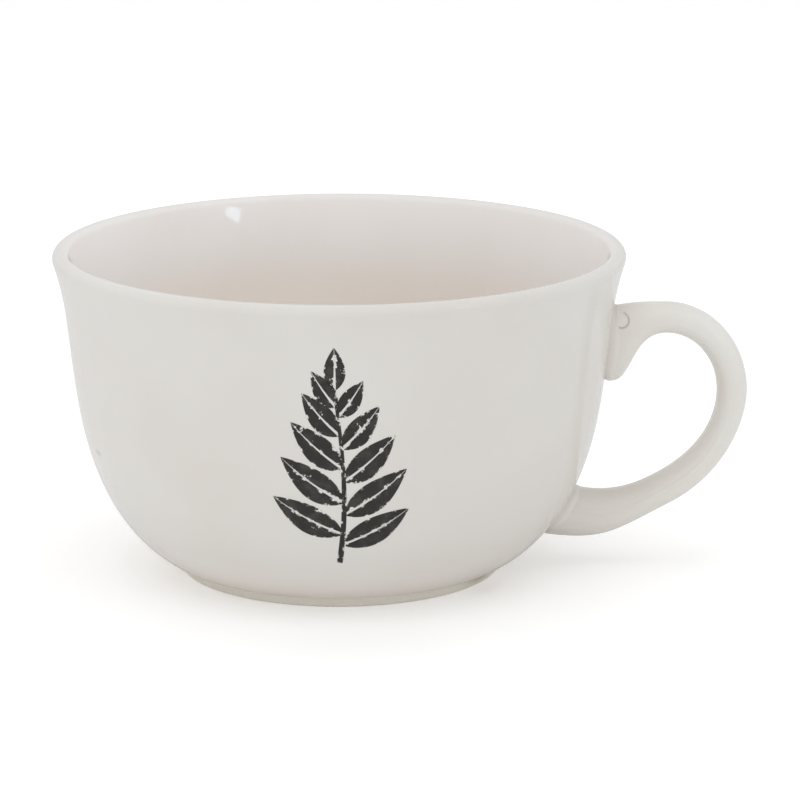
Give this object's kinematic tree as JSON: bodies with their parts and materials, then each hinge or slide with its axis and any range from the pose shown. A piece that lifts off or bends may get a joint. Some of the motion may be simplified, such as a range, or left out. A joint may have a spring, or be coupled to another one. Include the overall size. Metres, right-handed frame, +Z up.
{
  "type": "soup bowl",
  "caption": "Handled soup bowl in white-glazed stoneware: rounded body with a flared lip on a low foot ring, and a looped side handle to lift it by.",
  "frame": {"origin": "on the table, under the middle of the part's box; the bowl's own axis stands 15.16 mm from it towards -X", "axes": "+Z up, +X towards the handle, -Y towards the side that carries the printed motif"},
  "size_m": [0.1704, 0.14, 0.0802],
  "materials": {
    "stoneware": "bare fired clay, pale cream, matt",
    "slip": "fired luting slip, pale cream, under a thin wash of glaze",
    "glaze": "glossy warm off-white glaze"
  },
  "bodies": {
    "root": {"bowl_body": "stoneware", "bowl_glaze": "glaze", "base_glaze": "glaze", "upper_slip_joint": "slip", "lower_slip_joint": "slip", "handle": "stoneware", "handle_glaze": "glaze"}
  },
  "joints": []
}
